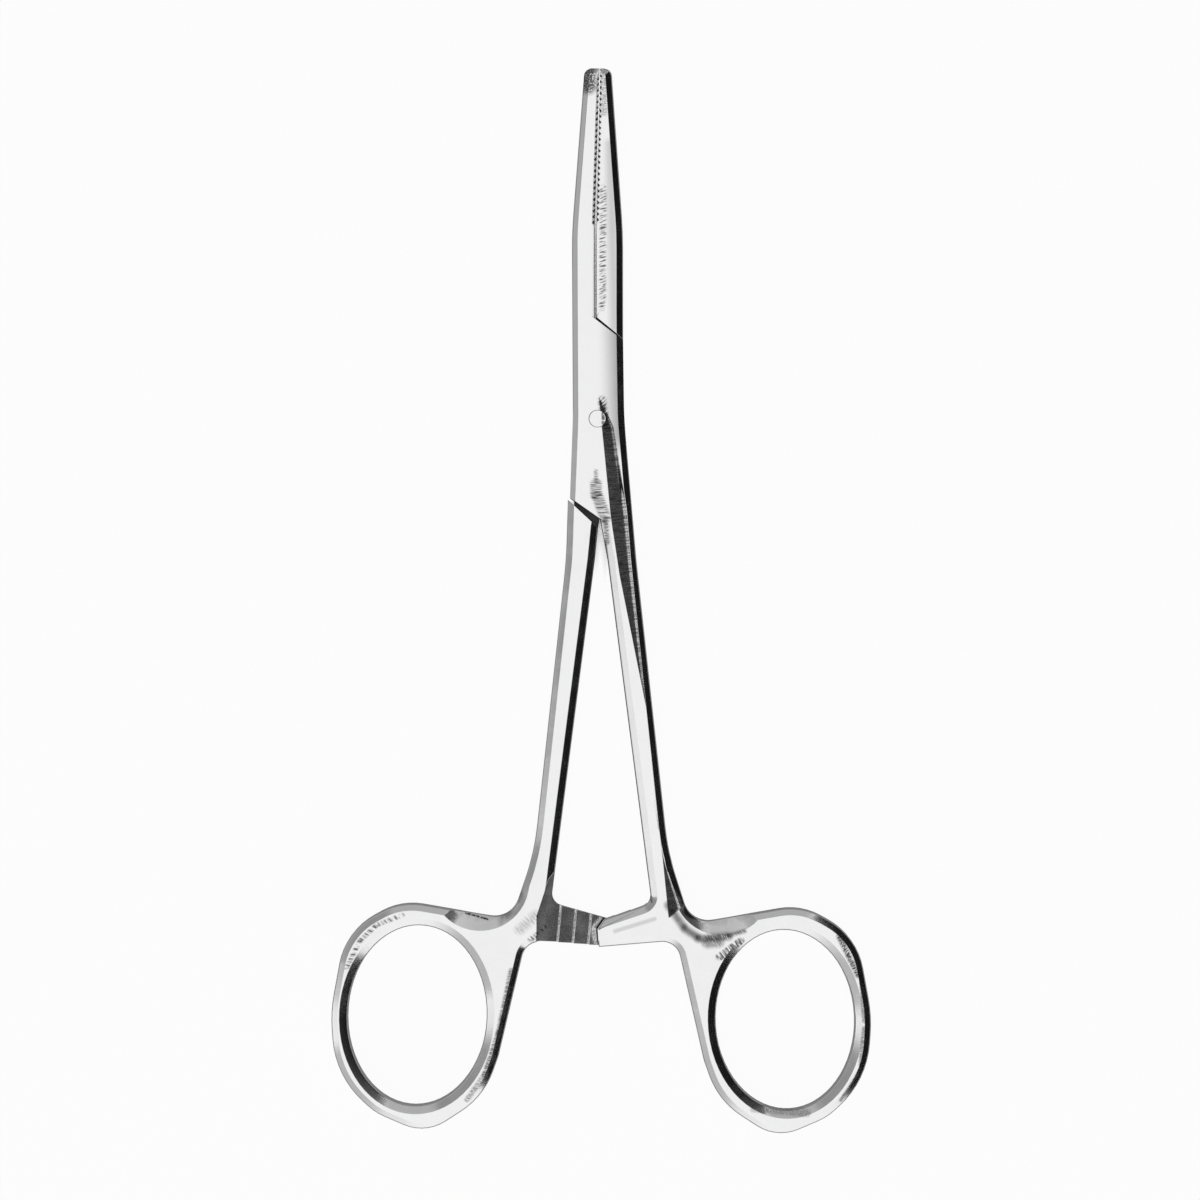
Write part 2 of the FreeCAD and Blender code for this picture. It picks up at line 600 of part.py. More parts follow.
class BoxHalf(Half):
    """Left jaw, box with its two cheeks, right shank, right ring and upper ratchet arm."""

    def __init__(self, document, sizes):
        super().__init__(document, sizes, "box_half", 1)
        self.jaw_bevel = "box_bevel"

    def arm_end(self):
        s = self.sizes
        return [
            (s["arm_tip_cut"], -s["arm_end_front_y"]),
            (ZERO, -s["arm_end_front_y"] - 1.4 * s["arm_tip_cut"]),
            (0.2 * s["arm_tip_cut"], -s["arm_end_rear_y"]),
        ]

    def plan_corners(self):
        s = self.sizes
        corners = self.jaw_corners()
        corners.append((-s["box_waist"], ZERO, s["jaw_blend"]))
        corners.append((-s["box_rear_width"], -s["rear_outer_y"]))
        crotch = self.neck_side(-s["rear_inner_y"], 1) + s["side_clearance"]
        corners.append((crotch, -s["rear_inner_y"]))
        corners += self.handle_corners()
        corners.append((s["box_right"], ZERO, s["jaw_blend"]))
        corners.append((s["box_half_width"], s["front_outer_y"]))
        corners.append((self.mating("root"), s["front_inner_y"]))
        return corners

    def slot(self):
        """The closed slot between the cheeks, wide enough for the neck over its whole swing."""
        s = self.sizes
        reach = s["neck_half_width"] + s["side_clearance"]
        rest = s["neck_angle"]
        open_end = s["neck_angle"] + s["opening_angle"]
        half_swing = s["opening_angle"] / 2
        mean = s["neck_angle"] + half_swing
        tip = reach / cosine(half_swing)
        beyond = 2 * s["box_half_width"]
        corners = []
        for sign in (1, -1):
            stop_x = -sign * tip * cosine(mean)
            stop_y = sign * tip * sine(mean)
            wide = stop_x - sign * beyond
            corners.append((wide, stop_y - sign * beyond * cosine(open_end) / sine(open_end)))
            corners.append((stop_x, stop_y))
            y = s["front_inner_y"] + s["slot_overrun"] if sign > 0 else -s["rear_inner_y"]
            x = (-sign * reach + y * sine(rest)) / cosine(rest)
            corners.append((x, y))
            corners.append((sign * beyond, y))
        drawing = Drawing(self.body, "slot_outline", lift=self.middle)
        drawing.outline(corners)
        height = s["neck_thickness"] + 2 * s["neck_clearance"]
        extrude(self.body, "Pocket", "slot", drawing, height, symmetric=True)

    def rivet_holes(self):
        s = self.sizes
        drawing = Drawing(self.body, "rivet_hole_outline", lift=self.middle)
        drawing.circle(s["rivet_diameter"] / 2)
        extrude(self.body, "Pocket", "rivet_holes", drawing, 2 * s["box_thickness"], symmetric=True)

    def facet_corners(self):
        """Outer edge of the long facet, from its front point to where it runs out."""
        s = self.sizes
        inset = s["outer_bevel_width"] + s["hollow_rim"]
        bend = self.across(s["shank_outer_front"])
        front_slope = (bend - s["box_right"]) / s["shank_front_y"]
        flare = self.across(s["shank_outer_rear"])
        web = self.across(s["web_x"])
        flare_slope = (web - flare) / (s["web_y"] + s["ring_stagger"] - s["flare_y"])
        end = flare + flare_slope * (s["hollow_end_y"] - s["flare_y"])
        start = s["hollow_front_x"] - s["hollow_lean"] * s["hollow_start_y"]
        return [
            (start, s["hollow_start_y"]),
            (s["hollow_knee_x"], -s["hollow_knee_y"], s["rivet_diameter"]),
            (
                s["box_right"] + front_slope * s["hollow_turn_y"] - inset,
                -s["hollow_turn_y"],
                s["flare_blend"] / 2,
            ),
            (bend - inset, -s["shank_front_y"], s["jaw_blend"]),
            (flare - inset, -s["flare_y"], s["flare_blend"]),
            (end - inset, -s["hollow_end_y"]),
            (end - inset - s["hollow_scoop"], -s["hollow_end_y"] - s["hollow_scoop"]),
        ]

    def long_facet(self):
        """Grinds a slope along the outer side of the shank, up to a point beside the rivet."""
        s = self.sizes
        lean = arc_tangent(s["hollow_lean"])
        tilt = s["hollow_tilt"]
        start_x = s["hollow_front_x"]
        corners = []
        for x, y, *rounding in self.facet_corners():
            across = (x - start_x) * cosine(lean) + y * sine(lean)
            along = y * cosine(lean) - (x - start_x) * sine(lean)
            corners.append((across / cosine(tilt), along, *rounding))
        beyond = -s["box_half_width"]
        corners.append((beyond, corners[-1][1]))
        corners.append((beyond, corners[0][1]))
        for name, sign in (("upper", 1), ("lower", -1)):
            drawing = Drawing(
                self.body,
                f"{name}_facet_outline",
                at=(start_x, ZERO),
                lift=self.middle + sign * s["box_thickness"] / 2,
                yaw=lean,
                pitch=sign * tilt,
            )
            drawing.outline(corners)
            extrude(
                self.body, "Pocket", f"{name}_facet", drawing, s["box_thickness"], backwards=sign > 0
            )

    def build(self):
        self.blank()
        self.thin_down()
        self.finger_hole()
        self.bevels()
        self.web_hollow()
        self.long_facet()
        self.slot()
        self.rivet_holes()
        self.teeth()
        self.ratchet()


class TenonHalf(Half):
    """Right jaw, neck through the box, left shank, left ring and lower ratchet arm."""

    def __init__(self, document, sizes):
        super().__init__(document, sizes, "tenon_half", -1)
        self.jaw_bevel = "jaw_bevel"

    def arm_end(self):
        s = self.sizes
        return [
            (s["arm_tongue"], -s["arm_end_front_y"]),
            (s["arm_tongue"], -s["arm_end_rear_y"]),
        ]

    def shoulders(self, x):
        """Y of the front and the rear pair of shoulders, at some X."""
        s = self.sizes
        root = self.mating("root")
        front = s["front_inner_y"] + s["front_gap"]
        front_fall = (s["front_inner_y"] - s["front_outer_y"]) / (s["box_half_width"] - root)
        rear = s["rear_inner_y"] + s["rear_gap_inner"]
        inner = self.neck_side(-rear, 1)
        rear_fall = (rear - s["rear_outer_y"] - s["rear_gap_outer"]) / (inner + s["box_rear_width"])
        return front - front_fall * (x - root), -rear - rear_fall * (x - inner)

    def plan_corners(self):
        """The neck is drawn wider than it is, and its sides are cut later."""
        s = self.sizes
        heel = s["rear_inner_y"] + s["rear_gap_inner"]
        waist = 2.5 * s["neck_half_width"]
        corners = self.jaw_corners()
        corners += [(s["box_half_width"], waist / 2), (self.neck_side(-heel, 1), -heel)]
        corners += self.handle_corners()
        corners += [
            (-s["box_half_width"], waist),
            (self.mating("root"), s["front_inner_y"] + s["front_gap"]),
        ]
        return corners

    def neck(self):
        """Cuts both flat sides and both edges away, which leaves the thin neck."""
        s = self.sizes
        beyond = 2 * s["box_half_width"]
        left_front, left_rear = self.shoulders(-beyond)
        right_front, right_rear = self.shoulders(beyond)
        corners = [
            (-beyond, left_front),
            (beyond, right_front),
            (beyond, right_rear),
            (-beyond, left_rear),
        ]
        for name, sign in (("upper", 1), ("lower", -1)):
            lift = self.middle + sign * s["neck_thickness"] / 2
            drawing = Drawing(self.body, f"{name}_relief_outline", lift=lift)
            drawing.outline(corners)
            extrude(
                self.body, "Pocket", f"{name}_relief", drawing, s["box_thickness"], backwards=sign > 0
            )
        half = s["neck_half_width"]
        lean = s["neck_angle"]
        right = s["box_half_width"] - s["window_recess"]
        left = -(s["box_waist"] - s["window_recess"])
        heel = s["rear_inner_y"] + s["rear_gap_inner"]
        toe = s["front_inner_y"] + s["front_gap"]
        drawing = Drawing(self.body, "neck_sides", lift=self.middle)
        drawing.outline(
            [
                (right, self.shoulders(right)[0]),
                (beyond, right_front),
                (beyond, right_rear),
                (self.neck_side(-heel, 1), -heel),
                (right, (right * cosine(lean) - half) / sine(lean)),
            ]
        )
        drawing.outline(
            [
                (left, self.shoulders(left)[1]),
                (-beyond, left_rear),
                (-beyond, left_front),
                (self.neck_side(toe, -1), self.shoulders(self.neck_side(toe, -1))[0]),
                (left, (left * cosine(lean) + half) / sine(lean)),
            ]
        )
        extrude(self.body, "Pocket", "neck_edges", drawing, 2 * s["box_thickness"], symmetric=True)

    def rivet_bore(self):
        s = self.sizes
        drawing = Drawing(self.body, "rivet_bore_outline", lift=self.middle)
        drawing.circle(s["rivet_diameter"] / 2 + s["rivet_clearance"])
        extrude(self.body, "Pocket", "rivet_bore", drawing, 2 * s["box_thickness"], symmetric=True)

    def build(self):
        self.blank()
        self.thin_down()
        self.finger_hole()
        self.bevels()
        self.web_hollow()
        self.neck()
        self.rivet_bore()
        self.teeth()
        self.ratchet()


def make_rivet(document, sizes):
    """The rivet, ground flush with both cheeks."""
    body = document.addObject("PartDesign::Body", "pivot_pin")
    body.Label = "pivot_pin"
    drawing = Drawing(body, "rivet_outline")
    drawing.circle(sizes["rivet_diameter"] / 2)
    extrude(body, "Pad", "rivet", drawing, sizes["box_thickness"])
    return body


def save(document, bodies):
    """Stops if any object or solid is unsound, then writes one file for each piece."""
    document.recompute()
    for thing in document.Objects:
        faults = [state for state in thing.State if state in ("Invalid", "Error")]
        if faults:
            raise RuntimeError(f"{thing.Label}: {faults}")
    os.makedirs("parts", exist_ok=True)
    for body in bodies:
        shape = body.Shape
        if shape.isNull() or not shape.isValid() or len(shape.Solids) != 1:
            raise RuntimeError(f"{body.Label} is not one sound solid")
        shape.exportStep(f"parts/{body.Label}.step")
        print(f"{body.Label}: {shape.Volume:.2f} mm3, {len(shape.Faces)} faces")


def main():
    document = FreeCAD.newDocument("forceps")
    sizes = make_sheet(document)
    halves = [BoxHalf(document, sizes), TenonHalf(document, sizes)]
    for half in halves:
        half.build()
    save(document, [half.body for half in halves] + [make_rivet(document, sizes)])


main()
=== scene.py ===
"""Looks of a straight box-lock hemostat: two polished steel forgings and their rivet on a white table."""

import json
import logging
import math
from dataclasses import dataclass, field
from enum import Enum
from typing import Any, Sequence

import bpy
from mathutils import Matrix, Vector

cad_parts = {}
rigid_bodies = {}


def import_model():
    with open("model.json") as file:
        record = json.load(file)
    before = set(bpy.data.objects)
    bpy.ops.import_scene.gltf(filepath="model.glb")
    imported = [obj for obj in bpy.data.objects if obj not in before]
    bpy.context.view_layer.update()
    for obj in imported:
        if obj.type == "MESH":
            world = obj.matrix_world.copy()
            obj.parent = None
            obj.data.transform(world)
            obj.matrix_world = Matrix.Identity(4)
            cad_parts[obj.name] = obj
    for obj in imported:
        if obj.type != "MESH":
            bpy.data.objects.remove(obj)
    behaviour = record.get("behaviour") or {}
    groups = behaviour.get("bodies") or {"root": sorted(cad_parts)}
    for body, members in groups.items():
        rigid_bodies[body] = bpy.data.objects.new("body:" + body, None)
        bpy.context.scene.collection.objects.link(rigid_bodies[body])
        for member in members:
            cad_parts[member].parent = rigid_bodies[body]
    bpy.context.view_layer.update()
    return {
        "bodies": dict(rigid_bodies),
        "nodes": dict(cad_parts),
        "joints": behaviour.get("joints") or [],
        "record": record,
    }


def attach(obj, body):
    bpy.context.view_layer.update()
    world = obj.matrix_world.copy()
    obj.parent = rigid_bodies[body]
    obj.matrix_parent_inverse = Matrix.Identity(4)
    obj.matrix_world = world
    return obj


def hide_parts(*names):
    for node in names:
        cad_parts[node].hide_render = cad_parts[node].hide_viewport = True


LOG = logging.getLogger("hemostat")
MM = 0.001


class Body(Enum):
    """The rigid bodies that the pieces ride on."""

    BOX_SIDE = "box_side"
    TENON_SIDE = "tenon_side"


class Slot(Enum):
    """The material slots."""

    STEEL = "steel"
    RIVET_STEEL = "rivet_steel"


class Graph:
    """A node tree that is built node by node."""

    def __init__(self, tree: bpy.types.NodeTree) -> None:
        """Empties the tree.

        Args:
            tree: the node tree of a material or of the world.
        """
        self.tree = tree
        tree.nodes.clear()

    def node(self, kind: str, inputs: dict[Any, Any] | None = None, **settings: Any) -> bpy.types.Node:
        """Adds a node and fills its sockets.

        Args:
            kind: the node's type name.
            inputs: values or sockets to link, by socket name or number.
            **settings: the node's own properties.

        Returns:
            The new node.
        """
        new = self.tree.nodes.new(kind)
        for name, value in settings.items():
            setattr(new, name, value)
        for key, value in (inputs or {}).items():
            if isinstance(value, bpy.types.NodeSocket):
                self.tree.links.new(value, new.inputs[key])
            else:
                new.inputs[key].default_value = value
        return new

    def math(self, operation: str, a: Any, b: Any = 0.0) -> bpy.types.NodeSocket:
        """Adds a Math node.

        Args:
            operation: the operation's name.
            a: the first value or socket.
            b: the second value or socket.

        Returns:
            The result's socket.
        """
        return self.node("ShaderNodeMath", {0: a, 1: b}, operation=operation).outputs[0]

    def smooth(self, value: Any, low: float, high: float, start: float = 0.0, stop: float = 1.0) -> Any:
        """A smooth step of a value between two limits.

        Args:
            value: the socket that is read.
            low: where the step starts.
            high: where the step ends.
            start: the result below the step.
            stop: the result above it.

        Returns:
            The result's socket.
        """
        inputs = {"Value": value, "From Min": low, "From Max": high, "To Min": start, "To Max": stop}
        return self.node("ShaderNodeMapRange", inputs, interpolation_type="SMOOTHSTEP").outputs[0]

    def vector(self, operation: str, a: Any, b: Any = (0.0, 0.0, 0.0), output: int = 0) -> Any:
        """Adds a Vector Math node.

        Args:
            operation: the operation's name.
            a: the first vector or socket.
            b: the second vector or socket, or the factor of a SCALE.
            output: 0 for the vector, 1 for the number.

        Returns:
            The result's socket.
        """
        second = 3 if operation == "SCALE" else 1
        return self.node("ShaderNodeVectorMath", {0: a, second: b}, operation=operation).outputs[output]

    def product(self, *values: Any) -> Any:
        """Multiplies any number of values or sockets.

        Args:
            *values: what is multiplied.

        Returns:
            The result's socket.
        """
        result = values[0]
        for value in values[1:]:
            result = self.math("MULTIPLY", result, value)
        return result


@dataclass(frozen=True)
class ShadeAndGrindMark:
    """A stretch of painted shade on the upper side, along a straight line in millimetres, cut into grinding
    marks where it has a pitch.

    The marks lie across the line. Depth is how much of the light they take, cover how much of
    the stretch they fill, pitch the mean distance between two of them and streak how often a
    mark breaks off in each millimetre. Slope limits them to faces that lean to the right by so
    much, given as the sideways part of the normal. Skew slants the marks, and without a pitch the
    stretch is evenly dark. Spread and edge say how the noise is cut into marks, and lean_edge how
    softly the slope's limits act.
    """

    start: tuple[float, float]
    stop: tuple[float, float]
    half_width: float
    soft: float
    depth: float
    pitch: float = 0.0
    cover: float = 0.5
    skew: float = 0.0
    streak: float = 0.45
    slope: tuple[float, float] | None = None
    spread: float = 0.22
    edge: float = 0.09
    lean_edge: float = 0.03

    def darkness(self, graph: Graph, flat: Any) -> Any:
        """The share of the light that the marks take at each place.

        Args:
            graph: the node tree of the material.
            flat: the place on the piece in millimetres, with its height left out.

        Returns:
            A socket between 0 and the depth.
        """
        run = Vector(self.stop) - Vector(self.start)
        ahead = (*run.normalized(), 0.0)
        side = (-ahead[1] + self.skew * ahead[0], ahead[0] + self.skew * ahead[1], 0.0)
        here = graph.vector("SUBTRACT", flat, (*self.start, 0.0))
        along = graph.vector("DOT_PRODUCT", here, ahead, output=1)
        held = graph.math("MINIMUM", graph.math("MAXIMUM", along, 0.0), run.length)
        off = graph.vector("DISTANCE", here, graph.vector("SCALE", ahead, held), output=1)
        inside = graph.smooth(off, self.half_width, self.half_width + self.soft, self.depth, 0.0)
        if not self.pitch:
            return inside
        across = graph.vector("DOT_PRODUCT", here, side, output=1)
        leaned = graph.math("ADD", along, graph.math("MULTIPLY", across, self.skew))
        spot = graph.node(
            "ShaderNodeCombineXYZ",
            {0: graph.math("DIVIDE", leaned, self.pitch), 1: graph.math("MULTIPLY", across, self.streak)},
        ).outputs[0]
        noise = graph.node("ShaderNodeTexNoise", {"Vector": spot, "Scale": 1.0, "Detail": 3.0}).outputs[0]
        level = 0.5 + self.spread * (0.5 - self.cover)
        marked = graph.math("MULTIPLY", inside, graph.smooth(noise, level - self.edge, level + self.edge))
        if self.slope is None:
            return marked
        normal = graph.node("ShaderNodeTexCoord").outputs["Normal"]
        lean = graph.node("ShaderNodeSeparateXYZ", {0: normal}).outputs[0]
        low, high = self.slope
        edge = self.lean_edge
        steep = graph.smooth(lean, low - edge, low + edge)
        return graph.product(marked, steep, graph.smooth(lean, high - edge, high + edge, 1.0, 0.0))


@dataclass(frozen=True)
class ShadedRecess:
    """A deep place that the polishing wheel doesn't reach, as a box in millimetres, darkened with painted
    shade.
    """

    low: tuple[float, float, float]
    high: tuple[float, float, float]
    depth: float = 0.94
    soft: float = 0.12

    def darkness(self, graph: Graph, place: Any) -> Any:
        """The share of the light that the recess takes at each place.

        Args:
            graph: the node tree of the material.
            place: the place on the piece in millimetres.

        Returns:
            A socket between 0 and the depth.
        """
        middle = tuple((a + b) / 2 for a, b in zip(self.low, self.high))
        half = tuple((b - a) / 2 for a, b in zip(self.low, self.high))
        offset = graph.vector("ABSOLUTE", graph.vector("SUBTRACT", place, middle))
        beyond = graph.vector("MAXIMUM", graph.vector("SUBTRACT", offset, half), (0.0, 0.0, 0.0))
        away = graph.vector("LENGTH", beyond, output=1)
        return graph.smooth(away, 0.0, self.soft, self.depth, 0.0)


@dataclass(frozen=True)
class Seam:
    """The fine line round the rivet's head."""

    radius: float = 1.13
    half_width: float = 0.03
    outer_share: float = 2.2
    depth: float = 0.35

    def darkness(self, graph: Graph, flat: Any) -> Any:
        """The share of the light that the line takes at each place.

        Args:
            graph: the node tree of the material.
            flat: the place on the piece in millimetres, with its height left out.

        Returns:
            A socket between 0 and the depth.
        """
        away = graph.math("SUBTRACT", graph.vector("LENGTH", flat, output=1), self.radius)
        away = graph.math("ABSOLUTE", away)
        return graph.smooth(away, self.half_width, self.outer_share * self.half_width, self.depth, 0.0)


@dataclass(frozen=True)
class SteelFinish:
    """Ground and polished stainless steel.

    The grain lies across the forging, as the belt left it, and the polish is uneven. Marks and
    recesses darken the steel with painted shade, which marks cut into grinding lines where they
    have a pitch; seams are dark lines. All three are rougher than the polished steel. Marks and
    seams lie above upper_side only. Narrow gaps get painted shade from ambient occlusion, as the
    crevice settings say. Lengths are in millimetres. Each step holds the two limits between which
    a noise, the painted shade or the crevice shade takes effect.
    """

    name: str
    marks: Sequence[ShadeAndGrindMark] = ()
    recesses: Sequence[ShadedRecess] = ()
    seams: Sequence[Seam] = ()
    colour: tuple[float, float, float] = (0.885, 0.885, 0.89)
    polish: float = 0.12
    dull: float = 0.22
    grain_height: float = 0.0035
    grain_pitch: float = 0.09
    grain_length: float = 4.0
    cloud_scale: float = 0.35
    cloud_tone: float = 0.95
    polish_step: tuple[float, float] = (0.35, 0.75)
    tone_step: tuple[float, float] = (0.2, 0.8)
    mark_roughness: float = 0.22
    mark_step: tuple[float, float] = (0.1, 0.9)
    upper_side: float = 1.6
    upper_soft: float = 0.3
    crevice: float = 0.9
    crevice_shade_tone: float = 0.04
    crevice_step: tuple[float, float] = (0.2, 0.62)
    crevice_samples: int = 2

    def painted_shade_and_seams(self, graph: Graph, place: Any) -> Any:
        """The share of the light that the painted shade of all marks and recesses, and the dark seams,
        leave.

        Args:
            graph: the node tree of the material.
            place: the place on the piece in millimetres.

        Returns:
            A socket between 0 and 1.
        """
        flat = graph.vector("MULTIPLY", place, (1.0, 1.0, 0.0))
        height = graph.node("ShaderNodeSeparateXYZ", {0: place}).outputs[2]
        above = graph.smooth(height, self.upper_side, self.upper_side + self.upper_soft)
        left = 1.0
        for mark in (*self.marks, *self.seams):
            taken = graph.math("MULTIPLY", mark.darkness(graph, flat), above)
            left = graph.product(graph.math("SUBTRACT", 1.0, taken), left)
        for recess in self.recesses:
            left = graph.product(graph.math("SUBTRACT", 1.0, recess.darkness(graph, place)), left)
        return left

    def material(self) -> bpy.types.Material:
        """Builds the material on Object coordinates, in millimetres.

        Returns:
            The material.
        """
        made = bpy.data.materials.new(self.name)
        made.use_nodes = True
        graph = Graph(made.node_tree)
        place = graph.node("ShaderNodeTexCoord").outputs["Object"]
        millimetres = graph.vector("SCALE", place, 1.0 / MM)
        pitches = (1.0 / self.grain_length, 1.0 / self.grain_pitch, 1.0)
        across = graph.vector("MULTIPLY", millimetres, pitches)
        grain = graph.node(
            "ShaderNodeTexNoise", {"Vector": across, "Scale": 1.0, "Detail": 3.0, "Roughness": 0.7}
        ).outputs[0]
        clouds = graph.node(
            "ShaderNodeTexNoise",
            {"Vector": millimetres, "Scale": self.cloud_scale, "Detail": 4.0, "Roughness": 0.6},
        ).outputs[0]
        # painted shade of the marks and recesses, and the dark seams round the rivet
        left_after_shade = self.painted_shade_and_seams(graph, millimetres)
        rough = graph.smooth(clouds, *self.polish_step, self.polish, self.dull)
        rough = graph.math("ADD", rough, graph.smooth(left_after_shade, *self.mark_step, self.mark_roughness, 0.0))
        tone = graph.smooth(clouds, *self.tone_step, self.cloud_tone, 1.0)
        # painted shade: the steel colour is darkened in narrow gaps and corners, from ambient occlusion
        open_side = graph.node(
            "ShaderNodeAmbientOcclusion", {"Distance": self.crevice * MM}, samples=self.crevice_samples
        ).outputs[1]
        shade = graph.smooth(open_side, *self.crevice_step, self.crevice_shade_tone, 1.0)
        # the steel colour takes the random tone, the painted shade of marks and recesses, and the painted
        # crevice shade
        tone = graph.product(tone, left_after_shade, shade)
        colour = graph.vector("SCALE", self.colour, tone)
        bump = graph.node(
            "ShaderNodeBump", {"Height": grain, "Distance": self.grain_height * MM, "Strength": 1.0}
        ).outputs[0]
        shader = graph.node(
            "ShaderNodeBsdfPrincipled",
            {"Base Color": colour, "Metallic": 1.0, "Roughness": rough, "Normal": bump},
        ).outputs[0]
        graph.node("ShaderNodeOutputMaterial", {0: shader})
        return made


@dataclass(frozen=True)
class Card:
    """A board that stands beside the table and shows in the steel, but not to the camera.

    Steps lists how its tone changes with the height: from, to and the tone that is added.
    Fade is the same along its width, from the middle towards the end on its own right.
    """

    name: str
    azimuth: float
    half_angle: float
    height: float
    tone: float
    steps: Sequence[tuple[float, float, float]]
    fade: tuple[float, float, float] | None = None
    distance: float = 0.55

    def build(self) -> None:
        """Stands the board up and paints it."""
        bpy.ops.mesh.primitive_plane_add(size=1.0)
        board = bpy.context.object
        board.name = self.name
        turn = math.radians(self.azimuth)
        width = 2 * self.distance * math.tan(math.radians(self.half_angle))
        board.scale = (width, self.height, 1.0)
        board.rotation_euler = (math.radians(90), 0.0, turn - math.radians(90))
        across = (math.cos(turn) * self.distance, math.sin(turn) * self.distance)
        board.location = (*across, self.height / 2)
        bpy.ops.object.transform_apply(location=True, rotation=True, scale=True)
        paint = bpy.data.materials.new(self.name)
        paint.use_nodes = True
        graph = Graph(paint.node_tree)
        place = graph.node("ShaderNodeTexCoord").outputs["Object"]
        up = graph.node("ShaderNodeSeparateXYZ", {0: place}).outputs[2]
        tone: Any = self.tone
        for low, high, added in self.steps:
            tone = graph.math("ADD", tone, graph.smooth(up, low, high, 0.0, added))
        if self.fade:
            aside = (-math.sin(turn), math.cos(turn), 0.0)
            run = graph.vector("DOT_PRODUCT", place, aside, output=1)
            low, high, added = self.fade
            tone = graph.math("ADD", tone, graph.smooth(run, low, high, 0.0, added))
        glow = graph.node("ShaderNodeEmission", {"Color": (1.0, 1.0, 1.0, 1.0), "Strength": tone})
        graph.node("ShaderNodeOutputMaterial", {0: glow.outputs[0]})
        board.data.materials.append(paint)
        board.visible_camera = False
        board.visible_shadow = False


@dataclass
class Studio:
    """White table, white surroundings with cards for the steel to mirror, and the camera above.

    Gap_step says how open a spot of the table must be to look white to the camera, and
    mirror_step and mirror_tones how open it is and how bright it then looks in the steel.
    """

    floor_size: float = 6.0
    view_width: float = 158.04 * MM
    view_centre: tuple[float, float] = (0.33 * MM, -23.75 * MM)
    view_height: float = 2.35 * MM
    lens: float = 90.0
    sensor: float = 36.0
    clip: tuple[float, float] = (0.01, 20.0)
    daylight: float = 1.0
    whiteness: float = 0.95
    gap_reach: float = 2.0 * MM
    gap_samples: int = 4
    gap_step: tuple[float, float] = (0.02, 0.09)
    mirror_step: tuple[float, float] = (0.1, 0.95)
    mirror_tones: tuple[float, float] = (0.03, 0.25)
    table_colour: tuple[float, float, float, float] = (0.95, 0.95, 0.95, 1.0)
    cards: Sequence[Card] = (
        Card(
            "right_card", azimuth=4.0, half_angle=52.0, height=2.2, tone=0.01,
            steps=((0.42, 0.75, 0.075), (1.15, 2.2, 0.85)),
        ),
        Card(
            "left_card", azimuth=155.0, half_angle=43.0, height=1.4, tone=0.44,
            steps=((0.2, 0.4, -0.14), (0.7, 1.4, 0.6)), fade=(0.27, 0.4, 0.6),
        ),
        Card(
            "near_card", azimuth=232.0, half_angle=28.0, height=1.0, tone=0.52,
            steps=((0.5, 1.0, 0.48),), fade=(-0.02, 0.24, 0.45),
        ),
        Card("far_card", azimuth=92.0, half_angle=34.0, height=1.4, tone=0.46, steps=((0.65, 1.4, 0.5),)),
    )

    def build(self) -> None:
        """Makes the surroundings, the table, the cards and the camera."""
        self.surroundings()
        self.table()
        for card in self.cards:
            card.build()
        self.camera()

    def surroundings(self) -> None:
        """An even white world."""
        world = bpy.data.worlds.new("white_room")
        bpy.context.scene.world = world
        world.use_nodes = True
        graph = Graph(world.node_tree)
        white = (1.0, 1.0, 1.0, 1.0)
        light = graph.node("ShaderNodeBackground", {"Color": white, "Strength": self.daylight})
        graph.node("ShaderNodeOutputWorld", {0: light.outputs[0]})

    def table(self) -> None:
        """A pale table top, white to the camera, darker in the steel and shaded in narrow gaps."""
        bpy.ops.mesh.primitive_plane_add(size=self.floor_size)
        floor = bpy.context.object
        floor.name = "table_top"
        paint = bpy.data.materials.new("table_paint")
        paint.use_nodes = True
        graph = Graph(paint.node_tree)
        path = graph.node("ShaderNodeLightPath").outputs
        seen = graph.math("MAXIMUM", path["Is Camera Ray"], path["Is Glossy Ray"])
        seen = graph.math("MAXIMUM", seen, path["Is Transmission Ray"])
        open_sky = graph.node(
            "ShaderNodeAmbientOcclusion", {"Distance": self.gap_reach}, samples=self.gap_samples
        ).outputs[1]
        shade = graph.smooth(open_sky, *self.gap_step)
        # painted shade: the table looks darker in the steel, and darker still close to the steel, from
        # ambient occlusion
        mirrored = graph.smooth(open_sky, *self.mirror_step, *self.mirror_tones)
        seen_straight = path["Is Camera Ray"]
        glow = graph.math(
            "ADD",
            graph.math("MULTIPLY", shade, seen_straight),
            graph.math("MULTIPLY", mirrored, graph.math("SUBTRACT", 1.0, seen_straight)),
        )
        share = graph.math("MULTIPLY", seen, self.whiteness)
        matt = graph.node("ShaderNodeBsdfDiffuse", {"Color": self.table_colour}).outputs[0]
        white = graph.node("ShaderNodeEmission", {"Strength": glow}).outputs[0]
        both = graph.node("ShaderNodeMixShader", {0: share, 1: matt, 2: white}).outputs[0]
        graph.node("ShaderNodeOutputMaterial", {0: both})
        floor.data.materials.append(paint)

    def camera(self) -> None:
        """A camera straight above, framed as the photograph is."""
        lens = bpy.data.cameras.new("overhead_camera")
        lens.lens = self.lens
        lens.sensor_width = self.sensor
        lens.clip_start, lens.clip_end = self.clip
        camera = bpy.data.objects.new("overhead_camera", lens)
        bpy.context.scene.collection.objects.link(camera)
        distance = self.view_width * self.lens / self.sensor
        camera.location = (*self.view_centre, self.view_height + distance)
        bpy.context.scene.camera = camera


